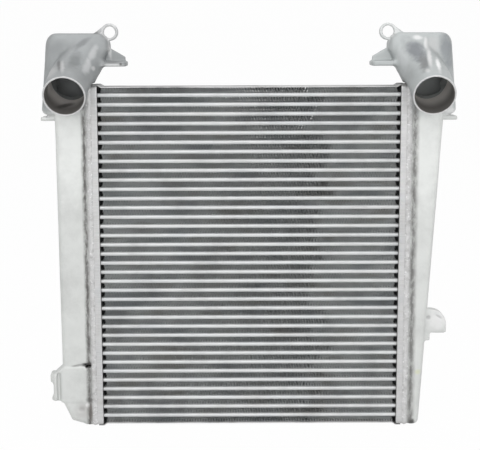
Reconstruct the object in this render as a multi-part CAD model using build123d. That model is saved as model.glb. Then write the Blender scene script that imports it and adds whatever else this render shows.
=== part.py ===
from build123d import *
import math
import os

# Charge air cooler in millimetres: X across the core, -Y to the side that the ports face, +Z up.
# It is built with the core's middle plane at y = 0, and every piece is moved by one amount at
# the end, so that the origin comes under the middle of the whole thing.

# Core: flat tubes, the rows of fin between them and the plates that close the stack.
tube_count = 36
tube_thickness = 8.0
tube_depth = 64.0
tube_wall = 0.8
tube_stand = 3.0
braze_gap = 0.05
fin_height = 10.0
fin_end_gap = 6.0
fin_depth = tube_depth - tube_thickness
pitch = tube_thickness + fin_height
core_half_width = 288.0

# Side plates: flat over the fins, then stepped outward to lap over the headers' ends.
plate_thickness = 2.0
plate_step = 4.0
plate_step_run = 7.0
plate_lap = 10.0

# Header: a dished plate with a flange all round, slotted for the tubes.
header_thickness = 3.0
header_reach = 15.0
header_depth = 74.0
header_corner = 8.0
header_bend = 3.0

# Levels of the stack, from the feet up.
header_bottom = plate_thickness
stack_bottom = header_bottom + plate_step
stack_top = stack_bottom + tube_count * pitch + fin_height
header_top = stack_top + plate_step
header_height = header_top - header_bottom
header_middle = (header_top + header_bottom) / 2

# Weld bead between header and tank.
root_gap = 1.0
bead_height = 1.9
bead_on_header = 2.0
bead_on_tank = 5.0
bead_round = 1.6
header_outer_x = core_half_width + header_reach
tank_inner_x = header_outer_x + root_gap

# Tank: the joint rim, then the body, which stands a little proud of it.
wall = 5.0
rim_reach = 11.0
rim_wall = 4.0
body_depth = 80.0
body_x = tank_inner_x + rim_reach
edge_round = 8.0
tank_width = 65.5
right_foot_width = 28.0
right_foot_round = 11.0
left_taper = 3.0
left_foot_width = 46.0
left_foot_rise = 10.0
left_shin_rise = 46.0
left_foot_round = 5.0

# Head: the casting's wide shoulder and crown, behind the port.
head_front = 26.0
head_back = 40.0
head_gap = 1.4
crown_rise = 98.5
crown_overhang = 37.5
crown_round = 24.0
waist_rise = 32.0
waist_overhang = 19.5
brow_rise = 66.0
throat_overhang = 5.0
shoulder_reach = 93.0
shoulder_top_reach = 81.0
shoulder_round = 21.0
shoulder_drop = 53.0
shoulder_foot_drop = 61.0
shoulder_foot_round = 10.0
head_round = 14.0
head_x = tank_inner_x + bead_on_tank + head_gap
head_bottom_z = header_top + bead_height + head_gap
crown_z = header_top + crown_rise

# Port: a straight seat for the hose, then a swan neck that leans up and inward into the crown.
port_radius = 40.0
port_wall = 3.5
port_tilt = 23.0
port_out = 34.5
port_drop = 16.5
port_reach = 120.0
port_seat = 40.0
neck_end_out = 10.0
neck_end_front = 4.0
neck_end_rise = 54.0
neck_climb = 55.0
neck_lean = 38.0

# Ring lug at the head's inner top corner.
ring_hole_radius = 11.0
ring_radius = 16.5
ring_thickness = 14.0
ring_overhang = 38.5
ring_rise = 100.5
ring_web_reach = 35.0
ring_neck_drop = 21.0
ring_web_in_share = 0.4
ring_web_up_share = 0.9

# Gusseted shelf under the ring.
shelf_overhang = 71.0
shelf_bottom_rise = 36.0
shelf_thickness = 9.5
shelf_depth = 56.0
shelf_round = 9.0
gusset_thickness = 8.0
gusset_top_rise = 74.0
gusset_knee_rise = 54.0
gusset_tip_round = 3.0

# Outer flange lug under the shoulder.
flange_reach = 95.0
flange_drop = 67.0
flange_thickness = 7.5
flange_depth = 44.0
flange_round = 6.0
flange_web_reach = 87.0
flange_web_thickness = 8.0

# Lower left lug: a channelled block with two ears and a notch over its inner end.
block_front = 41.0
block_back = 6.0
block_top = 122.0
block_bottom = 48.0
block_reach = 81.5
block_inner_reach = 7.0
block_foot_slope = 5.0
block_head_slope = 18.0
block_round = 3.0
channel_lip = 8.0
channel_width = 6.5
channel_depth = 8.0
channel_top = 110.0
ear_thickness = 24.0
ear_setback = 5.0
ear_round = 4.0
upper_ear_out = 6.0
upper_ear_bottom = 88.0
upper_ear_height = 20.0
lower_ear_out = 4.0
lower_ear_bottom = 51.0
lower_ear_height = 11.0
notch_height = 5.0
notch_length = 18.0
notch_depth = 7.0
notch_slope = 12.0

# Lower right lug: a D-shaped ear with a small stub under it.
flap_bottom = 187.0
flap_height = 46.5
flap_reach = 79.5
flap_front = 36.0
flap_thickness = 20.0
flap_curve_radius = 30.0
flap_corner = 4.0
stub_reach = 48.0
stub_height = 16.0
stub_thickness = 24.0
stub_round = 3.0

# Every cut runs past its solid by this much.
overrun = 5.0
# How deep a lug reaches into the wall that carries it.
root = 4.0

tube_length = 2 * (core_half_width + header_thickness + tube_stand)


def pick(outline, point):
    """The corner of an outline that is nearest to a point."""
    return outline.vertices().sort_by_distance(Vector(*point, 0))[0]


def profile(points, rounds=(), inset=0):
    """Closed outline in the front view, with some of its corners rounded, moved inward."""
    outline = make_face(Polyline(*points, close=True))
    for point, radius in rounds:
        outline = fillet(pick(outline, point), radius)
    if inset:
        outline = offset(outline, amount=-inset, kind=Kind.INTERSECTION)
    return outline


def slab(outline, front, back):
    """Solid with an outline of the front view, from one depth to another."""
    return extrude(Plane.XZ.offset(-back) * outline, back - front)


def soften(solid, side, radius, skip_x=None):
    """Rounds the edges of a slab's front or back face, apart from one upright edge."""
    face = solid.faces().sort_by(Axis.Y)[0 if side == "front" else -1]
    edges = [e for e in face.edges() if skip_x is None or abs(e.center().X - skip_x) > radius / 2]
    return fillet(edges, radius)


def stadium(width, height, length):
    """Bar along X with full-round long edges."""
    return extrude(Plane.YZ * SlotOverall(width, height), length / 2, both=True)


def tube_level(number):
    return stack_bottom + fin_height + tube_thickness / 2 + number * pitch


def flat_tube(number):
    outer = stadium(tube_depth, tube_thickness, tube_length)
    hollow_depth = tube_depth - 2 * tube_wall
    hollow = stadium(hollow_depth, tube_thickness - 2 * tube_wall, tube_length + overrun)
    return Pos(0, 0, tube_level(number)) * (outer - hollow)


def fin_rows():
    row = Box(2 * (core_half_width - fin_end_gap), fin_depth, fin_height)
    first = stack_bottom + fin_height / 2
    return Compound([Pos(0, 0, first + number * pitch) * row for number in range(tube_count + 1)])


def side_plate():
    """Bottom plate: flat under the fins, with both ends stepped down under the headers."""
    step_start = core_half_width - plate_step_run
    step_end = core_half_width
    lap_end = core_half_width + plate_lap
    upper = stack_bottom
    lower = header_bottom
    top_line = [(-lap_end, lower), (-step_end, lower), (-step_start, upper),
                (step_start, upper), (step_end, lower), (lap_end, lower)]
    bottom_line = [(x, z - plate_thickness) for x, z in reversed(top_line)]
    half = tube_depth / 2
    return slab(profile(top_line + bottom_line), -half, half)


def rounded_ring(reach, inset=0):
    """Bar along X whose section is the header's outline, moved inward."""
    section = RectangleRounded(header_depth - 2 * inset, header_height - 2 * inset, header_corner - inset)
    return extrude(Plane.YZ * section, reach)


def header():
    dish = Pos(core_half_width, 0, header_middle) * rounded_ring(header_reach)
    dish = fillet(dish.faces().sort_by(Axis.X)[0].edges(), header_bend)
    pocket = Pos(core_half_width + header_thickness, 0, header_middle) * rounded_ring(
        header_reach, header_thickness)
    slot_reach = 2 * header_thickness + overrun
    slot = stadium(tube_depth + 2 * braze_gap, tube_thickness + 2 * braze_gap, slot_reach)
    slots = [Pos(core_half_width, 0, tube_level(number)) * slot for number in range(tube_count)]
    return dish - pocket - slots


def weld_bead():
    start = header_outer_x - bead_on_header
    reach = bead_on_header + root_gap + bead_on_tank
    outer = Pos(start, 0, header_middle) * rounded_ring(reach, -bead_height)
    ends = outer.faces().sort_by(Axis.X)
    outer = fillet(ends[0].edges() + ends[-1].edges(), bead_round)
    over = Pos(start - overrun, 0, header_middle) * rounded_ring(reach + 2 * overrun)
    root_ring = rounded_ring(root_gap) - rounded_ring(root_gap, header_thickness)
    return outer - over + Pos(header_outer_x, 0, header_middle) * root_ring


def port_path():
    """Middle line of the port, from its mouth back, up and inward to its domed end in the crown."""
    x, y, z = tank_inner_x + port_out, -port_reach, header_top - port_drop
    back = Vector(0, math.cos(math.radians(port_tilt)), math.sin(math.radians(port_tilt)))
    mouth = Vector(x, y, z)
    seat_end = mouth + back * port_seat
    end = Vector(tank_inner_x + neck_end_out, -neck_end_front, header_top + neck_end_rise)
    climb, lean = math.radians(neck_climb), math.radians(neck_lean)
    level = math.cos(climb)
    up = Vector(-level * math.sin(lean), level * math.cos(lean), math.sin(climb))
    bend = Spline(seat_end, end, tangents=(back, up))
    return Line(mouth, seat_end) + bend, mouth, back, end


def swan_neck(radius, start=0):
    """Round bar along the port's middle line with a domed end, lengthened at the mouth for a cut."""
    path, mouth, back, end = port_path()
    section = Plane(mouth, x_dir=(1, 0, 0), z_dir=back) * Circle(radius)
    bar = sweep(section, path=path) + Pos(end) * Sphere(radius)
    if start:
        bar += extrude(section, -start)
    return bar


def head_points():
    waist = (tank_inner_x - waist_overhang, header_top + waist_rise)
    brow = (tank_inner_x - crown_overhang, header_top + brow_rise)
    return [
        (tank_inner_x - throat_overhang, header_top - shoulder_foot_drop),
        (tank_inner_x - throat_overhang, head_bottom_z),
        waist,
        brow,
        (tank_inner_x - crown_overhang, crown_z),
        (tank_inner_x + shoulder_top_reach, crown_z),
        (tank_inner_x + shoulder_reach, header_top - shoulder_drop),
        (tank_inner_x + tank_width, header_top - shoulder_foot_drop),
    ]


def head(inset=0):
    points = head_points()
    rounds = [(points[4], crown_round), (points[5], shoulder_round), (points[6], shoulder_foot_round)]
    body = slab(profile(points, rounds, inset), inset - head_front, head_back - inset)
    return soften(soften(body, "front", head_round - inset), "back", head_round - inset)


def body_points(side):
    """Outline of the tank below the head, on the side of positive X."""
    outer = tank_inner_x + tank_width
    foot = header_bottom
    shoulder = header_top - shoulder_foot_drop
    top = [(outer, shoulder), (outer, head_bottom_z), (body_x, head_bottom_z)]
    if side == "right":
        corner = (tank_inner_x + right_foot_width, foot)
        return [(body_x, foot), corner] + top, [(corner, right_foot_round)]
    heel = (tank_inner_x + left_foot_width, foot + left_foot_rise)
    shin = (outer - left_taper, foot + left_shin_rise)
    return [(body_x, foot), heel, shin] + top, [(heel, left_foot_round), (shin, left_foot_round)]


def body(side, inset=0):
    """The tank below the head, or its hollow, both run up into the head."""
    points, rounds = body_points(side)
    half = body_depth / 2 - inset
    solid = slab(profile(points, () if inset else rounds, inset), -half, half)
    if inset:
        return solid
    return soften(soften(solid, "front", edge_round, body_x), "back", edge_round, body_x)


def rim(inset=0):
    start = tank_inner_x - (overrun if inset else 0)
    return Pos(start, 0, header_middle) * rounded_ring(body_x + wall + root - start, inset)


def joint_room(margin=0):
    """Space of the header and its weld, and of the wall round it, which the head keeps clear of."""
    front = header_depth / 2 + bead_height + head_gap + margin
    back = head_back + overrun
    top = head_bottom_z + margin
    room = Box(header_depth, front + back, top, align=(Align.MAX, Align.MIN, Align.MAX))
    return Pos(head_x + margin, -front, top) * room


def ring_place():
    return tank_inner_x - ring_overhang, header_top + ring_rise


def ring_lug():
    x, z = ring_place()
    half = ring_thickness / 2
    eye = slab(Pos(x, z) * Circle(ring_radius), -half, half)
    web = slab(profile([
        (x + ring_radius * ring_web_in_share, z + ring_radius * ring_web_up_share),
        (x + ring_web_reach, crown_z - root),
        (x + ring_web_reach, z - ring_neck_drop),
        (x + root, z - ring_neck_drop),
        (x, z),
    ]), -half, half)
    return eye + web


def ring_hole():
    x, z = ring_place()
    half = ring_thickness / 2 + overrun
    return slab(Pos(x, z) * Circle(ring_hole_radius), -half, half)


def shelf_lug():
    tip = tank_inner_x - shelf_overhang
    inner = tank_inner_x - waist_overhang + root
    bottom = header_top + shelf_bottom_rise
    shelf = Box(inner - tip, shelf_depth, shelf_thickness, align=(Align.MIN, Align.CENTER, Align.MIN))
    shelf = Pos(tip, 0, bottom) * shelf
    shelf = fillet(shelf.faces().sort_by(Axis.X)[0].edges().filter_by(Axis.Z), shelf_round)
    top = bottom + shelf_thickness
    gusset = profile([
        (tip + gusset_tip_round, top - root),
        (tip + gusset_tip_round, header_top + gusset_knee_rise),
        (tank_inner_x - crown_overhang + root, header_top + gusset_top_rise),
        (inner, top - root),
    ])
    return shelf + slab(gusset, -gusset_thickness / 2, gusset_thickness / 2)


def flange_lug():
    inner = tank_inner_x + tank_width - root
    outer = tank_inner_x + flange_reach
    bottom = header_top - flange_drop
    flange = Box(outer - inner, flange_depth, flange_thickness, align=(Align.MIN, Align.CENTER, Align.MIN))
    flange = Pos(inner, 0, bottom) * flange
    flange = fillet(flange.faces().sort_by(Axis.X)[-1].edges().filter_by(Axis.Z), flange_round)
    web = profile([
        (inner, bottom + flange_thickness / 2),
        (tank_inner_x + flange_web_reach, bottom + flange_thickness / 2),
        (tank_inner_x + flange_web_reach - root, header_top - shoulder_drop),
        (inner, header_top - shoulder_drop),
    ])
    return flange + slab(web, -flange_web_thickness / 2, flange_web_thickness / 2)


def block_lug():
    """Channelled block on the left tank: it stands proud of the tank's front, with two ears."""
    inner = tank_inner_x + block_inner_reach
    knee = tank_inner_x + tank_width - root
    outer = tank_inner_x + block_reach
    outline = profile([
        (inner, block_bottom),
        (knee, block_bottom),
        (outer, block_bottom + block_foot_slope),
        (outer, block_top - block_head_slope),
        (knee, block_top),
        (inner, block_top),
    ])
    block = soften(slab(outline, -block_front, block_back), "front", block_round, inner)
    start = outer - channel_lip
    for bottom, height, out in (
        (upper_ear_bottom, upper_ear_height, upper_ear_out),
        (lower_ear_bottom, lower_ear_height, lower_ear_out),
    ):
        end = outer + out
        ear = profile([(start, bottom), (end, bottom), (end, bottom + height), (start, bottom + height)],
                      [((end, bottom), ear_round), ((end, bottom + height), ear_round)])
        front = ear_setback - block_front
        block += slab(ear, front, front + ear_thickness)
    return block


def block_cuts():
    """The block's upright channel and the notch over its inner end."""
    start = tank_inner_x + block_reach - channel_lip - channel_width
    bottom = block_bottom - overrun
    channel = profile([(start, bottom), (start + channel_width, bottom),
                       (start + channel_width, channel_top), (start, channel_top)])
    notch = Box(notch_length, notch_depth + overrun, notch_height,
                align=(Align.MIN, Align.MAX, Align.MIN))
    notch = Rot(0, notch_slope, 0) * notch
    notch = Pos(tank_inner_x, notch_depth - block_front, block_top) * notch
    front = -block_front - overrun
    return [slab(channel, front, channel_depth - block_front), notch]


def right_edge_x(z):
    """Outer edge of the right tank at a height: it tapers to its foot."""
    share = (z - header_bottom) / (header_top - shoulder_foot_drop - header_bottom)
    return tank_inner_x + right_foot_width + share * (tank_width - right_foot_width)


def flap_lug():
    """D-shaped ear on the right tank, with a small stub under it."""
    inner = right_edge_x(flap_bottom - stub_height) - root
    outer = tank_inner_x + flap_reach
    top = flap_bottom + flap_height
    flap = profile([(inner, flap_bottom), (outer, flap_bottom), (outer, top), (inner, top)],
                   [((outer, flap_bottom), flap_corner), ((outer, top), flap_curve_radius)])
    stub_end = tank_inner_x + stub_reach
    stub_bottom = flap_bottom - stub_height
    stub = profile([(inner, stub_bottom), (stub_end, stub_bottom), (stub_end, flap_bottom + root),
                    (inner, flap_bottom + root)], [((stub_end, stub_bottom), stub_round)])
    return (slab(flap, -flap_front, flap_thickness - flap_front)
            + slab(stub, -flap_front, stub_thickness - flap_front))


def casting(side):
    """One end tank, on the side of positive X."""
    outside = head() + swan_neck(port_radius) - joint_room() + body(side) + rim()
    outside += [ring_lug(), shelf_lug(), flange_lug(), block_lug() if side == "left" else flap_lug()]
    inside = head(wall) + swan_neck(port_radius - port_wall, overrun) - joint_room(wall)
    inside += body(side, wall) + rim(rim_wall)
    cuts = [inside, ring_hole()]
    if side == "left":
        cuts += block_cuts()
    return outside - cuts


def left_of(piece):
    return mirror(piece, about=Plane.YZ)


pieces = {
    "left_tank": left_of(casting("left")),
    "right_tank": casting("right"),
    "left_header": left_of(header()),
    "right_header": header(),
    "left_weld_bead": left_of(weld_bead()),
    "right_weld_bead": weld_bead(),
    "bottom_side_plate": side_plate(),
    "top_side_plate": Pos(0, 0, header_bottom + header_top) * mirror(side_plate(), about=Plane.XY),
    "air_fins": fin_rows(),
}
for number in range(tube_count):
    pieces[f"flat_tube_{number + 1:02d}"] = flat_tube(number)

mouth_rise = port_radius * math.sin(math.radians(port_tilt))
middle = (head_back - port_reach - mouth_rise) / 2
os.makedirs("parts", exist_ok=True)
for name, piece in pieces.items():
    export_step(Pos(0, -middle, 0) * piece, f"parts/{name}.step")
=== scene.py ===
"""Looks of a charge air cooler: cast end tanks, dished headers, flat tubes and corrugated air fins."""

import logging
import math
from dataclasses import dataclass, field
from enum import Enum
from typing import Sequence

import bmesh
import bpy
import numpy as np
from mathutils import Matrix, Vector, noise


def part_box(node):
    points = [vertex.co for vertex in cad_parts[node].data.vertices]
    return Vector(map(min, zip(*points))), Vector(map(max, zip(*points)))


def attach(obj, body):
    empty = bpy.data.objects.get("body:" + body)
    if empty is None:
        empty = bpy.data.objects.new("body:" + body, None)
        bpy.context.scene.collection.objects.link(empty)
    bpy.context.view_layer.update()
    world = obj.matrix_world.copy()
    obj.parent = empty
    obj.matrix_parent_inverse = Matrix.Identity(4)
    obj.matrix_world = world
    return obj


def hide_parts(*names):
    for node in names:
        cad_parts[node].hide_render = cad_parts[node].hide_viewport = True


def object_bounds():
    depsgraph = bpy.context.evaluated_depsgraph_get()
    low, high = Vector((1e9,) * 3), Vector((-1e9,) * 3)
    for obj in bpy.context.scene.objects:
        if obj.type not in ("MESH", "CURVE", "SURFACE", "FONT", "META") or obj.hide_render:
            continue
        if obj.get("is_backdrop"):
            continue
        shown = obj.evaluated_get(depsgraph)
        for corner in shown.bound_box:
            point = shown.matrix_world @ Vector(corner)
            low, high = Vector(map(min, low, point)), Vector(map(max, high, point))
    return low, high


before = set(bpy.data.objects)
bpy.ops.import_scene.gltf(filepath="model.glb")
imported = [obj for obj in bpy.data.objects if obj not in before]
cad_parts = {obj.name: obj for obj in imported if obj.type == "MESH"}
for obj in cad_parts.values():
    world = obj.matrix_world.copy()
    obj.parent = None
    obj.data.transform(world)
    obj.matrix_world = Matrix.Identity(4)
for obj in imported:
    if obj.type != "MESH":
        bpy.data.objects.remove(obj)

logging.basicConfig(level=logging.INFO, format="%(message)s")
log = logging.getLogger("cooler")

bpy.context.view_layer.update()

MM = 0.001
ROOT = "root"
FLOAT = "NodeSocketFloat"
VECTOR = "NodeSocketVector"
# Top level, offset and power of the display's tone curve.
TOP_LEVEL = 255
TONE_OFFSET = 0.055
TONE_POWER = 2.4
# Numbers of the Mix node's sockets for colours.
MIX_SHARE, MIX_FIRST, MIX_SECOND, MIX_RESULT = 0, 6, 7, 2

Socket = bpy.types.NodeSocket
Colour = tuple[float, float, float]
Triple = tuple[float, float, float]
Pair = tuple[float, float]
Corners = tuple[int, ...]

WHITE: Colour = (1.0, 1.0, 1.0)


def grey(level: float, warm: float = 0.0, green: float = 0.0) -> Colour:
    """Turns a display level of 0 to 255 into a linear colour.

    Args:
        level: Display level of the grey.
        warm: Display levels that red gains and blue loses.
        green: Display levels that green gains.

    Returns:
        Linear red, green and blue.
    """
    levels = (level + warm, level + green, level - warm)
    return tuple(((v / TOP_LEVEL + TONE_OFFSET) / (1 + TONE_OFFSET)) ** TONE_POWER for v in levels)


class Side(Enum):
    """The two ends of the core, by the sign of X."""

    LEFT = -1
    RIGHT = 1

    @property
    def word(self) -> str:
        """The side's name as the nodes write it."""
        return self.name.lower()


class NodeBoard:
    """A node tree with short ways to add, set and join its nodes."""

    def __init__(self, tree: bpy.types.NodeTree) -> None:
        """Keeps the tree that the nodes go into."""
        self.tree = tree

    def add(self, kind: str, inputs: dict | None = None, **settings: object) -> bpy.types.Node:
        """Adds a node.

        Args:
            kind: The node's type name.
            inputs: Values or output sockets, by input name or number.
            **settings: Properties of the node.

        Returns:
            The new node.
        """
        node = self.tree.nodes.new(kind)
        for name, value in settings.items():
            setattr(node, name, value)
        for key, value in (inputs or {}).items():
            self.feed(node.inputs[key], value)
        return node

    def feed(self, socket: Socket, value: object) -> None:
        """Joins an output socket to an input, or sets the input's own value.

        Args:
            socket: The input.
            value: An output socket, a number, or a tuple of three.
        """
        if isinstance(value, bpy.types.NodeSocket):
            self.tree.links.new(value, socket)
        elif isinstance(value, tuple) and len(value) == 3 and socket.type == "RGBA":
            socket.default_value = (*value, 1.0)
        else:
            socket.default_value = value

    def maths(self, operation: str, *values: float | Socket) -> Socket:
        """Adds a Math node.

        Args:
            operation: The node's operation.
            *values: Its inputs, in order.

        Returns:
            The result.
        """
        node = self.add("ShaderNodeMath", operation=operation)
        for socket, value in zip(node.inputs, values):
            self.feed(socket, value)
        return node.outputs[0]

    def ramp(self, value: float | Socket, low: float | Socket, high: float | Socket) -> Socket:
        """Maps a value smoothly to 0 at one end of a range and 1 at the other, and no further.

        Args:
            value: The value.
            low: Where the result is 0.
            high: Where the result is 1.

        Returns:
            The mapped value.
        """
        node = self.add("ShaderNodeMapRange", {"Value": value, "From Min": low, "From Max": high},
                        interpolation_type="SMOOTHSTEP")
        return node.outputs["Result"]

    def blend(self, share: float | Socket, first: Colour | Socket, second: Colour | Socket) -> Socket:
        """Mixes two colours.

        Args:
            share: Share of the second colour.
            first: The colour at a share of 0.
            second: The colour at a share of 1.

        Returns:
            The mixed colour.
        """
        node = self.add("ShaderNodeMix", data_type="RGBA")
        self.feed(node.inputs[MIX_SHARE], share)
        self.feed(node.inputs[MIX_FIRST], first)
        self.feed(node.inputs[MIX_SECOND], second)
        return node.outputs[MIX_RESULT]

    def noise(self, coordinates: Socket, scale: float | Socket, detail: float, rough: float) -> Socket:
        """Adds a noise texture.

        Args:
            coordinates: Where the texture is read.
            scale: Its scale.
            detail: Its number of finer layers.
            rough: How strong the finer layers are.

        Returns:
            The noise, about 0.5 in the middle.
        """
        node = self.add("ShaderNodeTexNoise", {"Vector": coordinates, "Scale": scale, "Detail": detail,
                                               "Roughness": rough})
        return node.outputs["Fac"]

    def stretched(self, coordinates: Socket, factors: Triple) -> Socket:
        """Scales coordinates.

        Args:
            coordinates: The coordinates.
            factors: One factor for each axis.

        Returns:
            The scaled coordinates.
        """
        node = self.add("ShaderNodeVectorMath", {0: coordinates, 1: factors}, operation="MULTIPLY")
        return node.outputs[0]

    def split(self, coordinates: Socket) -> bpy.types.bpy_prop_collection:
        """Returns the outputs X, Y and Z of a node that takes coordinates apart."""
        return self.add("ShaderNodeSeparateXYZ", {0: coordinates}).outputs

    def length(self, coordinates: Socket) -> Socket:
        """Returns how far coordinates lie from the origin."""
        return self.add("ShaderNodeVectorMath", {0: coordinates}, operation="LENGTH").outputs["Value"]


class Effect:
    """A shader node group that several finishes use, built once.

    A subclass names its sockets in takes and gives. Its noise settings are pairs of detail and
    roughness, and its ranges are pairs of low and high.
    """

    label: str = "effect"
    takes: dict[str, tuple[str, float | Sequence[float]]] = {}
    gives: dict[str, str] = {}

    @classmethod
    def group(cls) -> bpy.types.NodeTree:
        """Finds the group, or builds it at the first call.

        Returns:
            The group's node tree.
        """
        found = bpy.data.node_groups.get(cls.label)
        if found:
            return found
        tree = bpy.data.node_groups.new(cls.label, "ShaderNodeTree")
        for name, (kind, default) in cls.takes.items():
            socket = tree.interface.new_socket(name=name, in_out="INPUT", socket_type=kind)
            socket.default_value = default
        for name, kind in cls.gives.items():
            tree.interface.new_socket(name=name, in_out="OUTPUT", socket_type=kind)
        board = NodeBoard(tree)
        entry = board.add("NodeGroupInput")
        leave = board.add("NodeGroupOutput")
        for name, socket in cls.wire(board, entry).items():
            board.feed(leave.inputs[name], socket)
        return tree

    @classmethod
    def wire(cls, board: NodeBoard, entry: bpy.types.Node) -> dict[str, Socket]:
        """Adds the group's own nodes.

        Args:
            board: The group's node tree.
            entry: The node that holds the group's inputs.

        Returns:
            The group's outputs, by name.
        """
        raise NotImplementedError

    @classmethod
    def place(cls, board: NodeBoard, **values: object) -> bpy.types.bpy_prop_collection:
        """Puts the group into a material.

        Args:
            board: The material's node tree.
            **values: Inputs, with _ for a space in a name.

        Returns:
            The outputs of the group node.
        """
        node = board.add("ShaderNodeGroup", node_tree=cls.group())
        for name, value in values.items():
            board.feed(node.inputs[name.replace("_", " ")], value)
        return node.outputs


class CastGrain(Effect):
    """Skin of a sand casting: fine grain, shallow swells and a few pits."""

    label = "cast_grain"
    takes = {"Coordinates": (VECTOR, (0, 0, 0)), "Grain Scale": (FLOAT, 900.0), "Swell Scale": (FLOAT, 45.0),
             "Pit Share": (FLOAT, 0.1)}
    gives = {"Height": FLOAT, "Pits": FLOAT, "Tone": FLOAT}
    grain_noise: Pair = (3.0, 0.6)
    swell_noise: Pair = (3.0, 0.5)
    pit_scale: float = 420.0
    pit_reach: float = 0.6
    grain_weight: float = 0.35
    swell_weight: float = 0.65
    pit_weight: float = 0.5

    @classmethod
    def wire(cls, board: NodeBoard, entry: bpy.types.Node) -> dict[str, Socket]:
        """Adds grain, swells and pits.

        Args:
            board: The group's node tree.
            entry: The node that holds the group's inputs.

        Returns:
            The group's outputs, by name.
        """
        place = entry.outputs["Coordinates"]
        grain = board.noise(place, entry.outputs["Grain Scale"], *cls.grain_noise)
        swell = board.noise(place, entry.outputs["Swell Scale"], *cls.swell_noise)
        cells = board.add("ShaderNodeTexVoronoi", {"Vector": place, "Scale": cls.pit_scale}, feature="F1")
        reach = board.maths("MULTIPLY", entry.outputs["Pit Share"], cls.pit_reach)
        pits = board.maths("SUBTRACT", 1.0, board.ramp(cells.outputs["Distance"], 0.0, reach))
        height = board.maths("ADD", board.maths("MULTIPLY", grain, cls.grain_weight),
                             board.maths("MULTIPLY", swell, cls.swell_weight))
        height = board.maths("SUBTRACT", height, board.maths("MULTIPLY", pits, cls.pit_weight))
        return {"Height": height, "Pits": pits, "Tone": swell}


class HandlingMarks(Effect):
    """Soft grey smudges and stained patches that handling leaves."""

    label = "handling_marks"
    takes = {"Coordinates": (VECTOR, (0, 0, 0)), "Patch Scale": (FLOAT, 12.0), "Amount": (FLOAT, 0.5)}
    gives = {"Mask": FLOAT}
    patch_noise: Pair = (6.0, 0.62)
    speck_scale: float = 160.0
    speck_noise: Pair = (3.0, 0.7)
    speck_weight: float = 0.18
    patch_range: Pair = (0.52, 0.82)

    @classmethod
    def wire(cls, board: NodeBoard, entry: bpy.types.Node) -> dict[str, Socket]:
        """Adds patches with broken edges.

        Args:
            board: The group's node tree.
            entry: The node that holds the group's inputs.

        Returns:
            The group's outputs, by name.
        """
        place = entry.outputs["Coordinates"]
        patches = board.noise(place, entry.outputs["Patch Scale"], *cls.patch_noise)
        broken = board.noise(place, cls.speck_scale, *cls.speck_noise)
        whole = board.maths("ADD", patches, board.maths("MULTIPLY", broken, cls.speck_weight))
        mask = board.ramp(whole, *cls.patch_range)
        return {"Mask": board.maths("MULTIPLY", mask, entry.outputs["Amount"])}


class SheetMarks(Effect):
    """Drawing lines, faint waves and a few bright scratches of rolled sheet, along X."""

    label = "sheet_marks"
    takes = {"Coordinates": (VECTOR, (0, 0, 0)), "Line Scale": (FLOAT, 700.0)}
    gives = {"Height": FLOAT, "Mask": FLOAT, "Scratches": FLOAT}
    line_stretch: Triple = (0.03, 1.0, 1.0)
    line_noise: Pair = (3.0, 0.6)
    line_weight: float = 0.3
    line_range: Pair = (0.42, 0.7)
    wave_scale: float = 22.0
    wave_noise: Pair = (2.0, 0.5)
    knock_stretch: Triple = (1.0, 1.0, 0.35)
    knock_scale: float = 95.0
    knock_noise: Pair = (5.0, 0.75)
    knock_range: Pair = (0.68, 0.8)

    @classmethod
    def wire(cls, board: NodeBoard, entry: bpy.types.Node) -> dict[str, Socket]:
        """Adds lines, waves and scratches.

        Args:
            board: The group's node tree.
            entry: The node that holds the group's inputs.

        Returns:
            The group's outputs, by name.
        """
        place = entry.outputs["Coordinates"]
        lines = board.noise(board.stretched(place, cls.line_stretch), entry.outputs["Line Scale"],
                            *cls.line_noise)
        waves = board.noise(place, cls.wave_scale, *cls.wave_noise)
        knocks = board.noise(board.stretched(place, cls.knock_stretch), cls.knock_scale, *cls.knock_noise)
        height = board.maths("ADD", board.maths("MULTIPLY", lines, cls.line_weight), waves)
        return {"Height": height, "Mask": board.ramp(lines, *cls.line_range),
                "Scratches": board.ramp(knocks, *cls.knock_range)}


class PatchTints(Effect):
    """Faint cool and warm patches of sheet that has been through the brazing oven."""

    label = "patch_tints"
    takes = {"Coordinates": (VECTOR, (0, 0, 0)), "Amount": (FLOAT, 0.15)}
    gives = {"Cool": FLOAT, "Warm": FLOAT}
    patch_stretch: Triple = (0.3, 1.0, 1.0)
    patch_scale: float = 34.0
    patch_noise: Pair = (3.0, 0.6)
    cool_range: Pair = (0.5, 0.66)
    warm_range: Pair = (0.46, 0.32)

    @classmethod
    def wire(cls, board: NodeBoard, entry: bpy.types.Node) -> dict[str, Socket]:
        """Adds the two masks.

        Args:
            board: The group's node tree.
            entry: The node that holds the group's inputs.

        Returns:
            The group's outputs, by name.
        """
        place = board.stretched(entry.outputs["Coordinates"], cls.patch_stretch)
        patches = board.noise(place, cls.patch_scale, *cls.patch_noise)
        amount = entry.outputs["Amount"]
        return {"Cool": board.maths("MULTIPLY", board.ramp(patches, *cls.cool_range), amount),
                "Warm": board.maths("MULTIPLY", board.ramp(patches, *cls.warm_range), amount)}


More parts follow.
